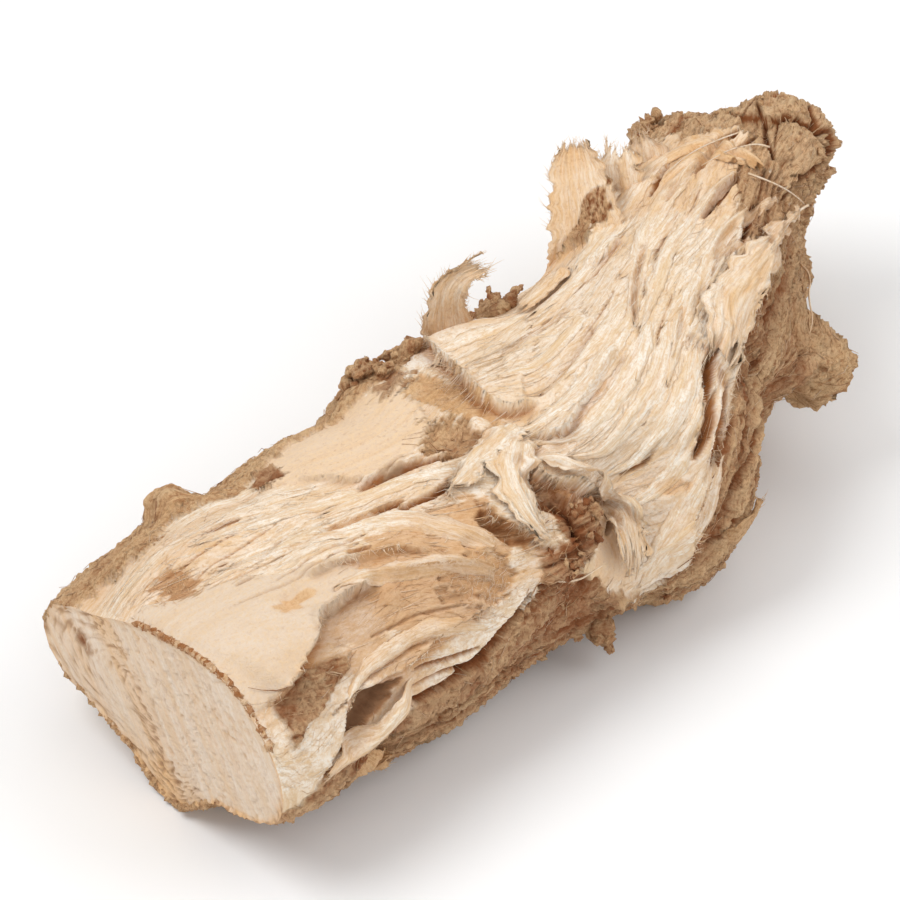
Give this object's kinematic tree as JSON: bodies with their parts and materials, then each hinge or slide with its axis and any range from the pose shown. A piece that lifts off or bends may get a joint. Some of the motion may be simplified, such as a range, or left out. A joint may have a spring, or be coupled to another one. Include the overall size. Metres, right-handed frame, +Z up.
{
  "type": "iris rhizome",
  "caption": "Dried, peeled piece of iris rootstock with torn cream fibres, bark remnants and one flat sawn end, lying on its underside.",
  "frame": {"origin": "on the resting surface, under the middle of the piece's bounding box", "axes": "+Z up from the resting surface, +X along the trunk from the sawn end to the growing end, +Y to the side that the growing end bends towards"},
  "size_m": [0.093, 0.0398, 0.0281],
  "materials": {
    "peeled_root": "dry matt fibrous root, cream where peeled and tan where bark remains"
  },
  "bodies": {
    "root": {"rhizome": "peeled_root"}
  },
  "joints": []
}
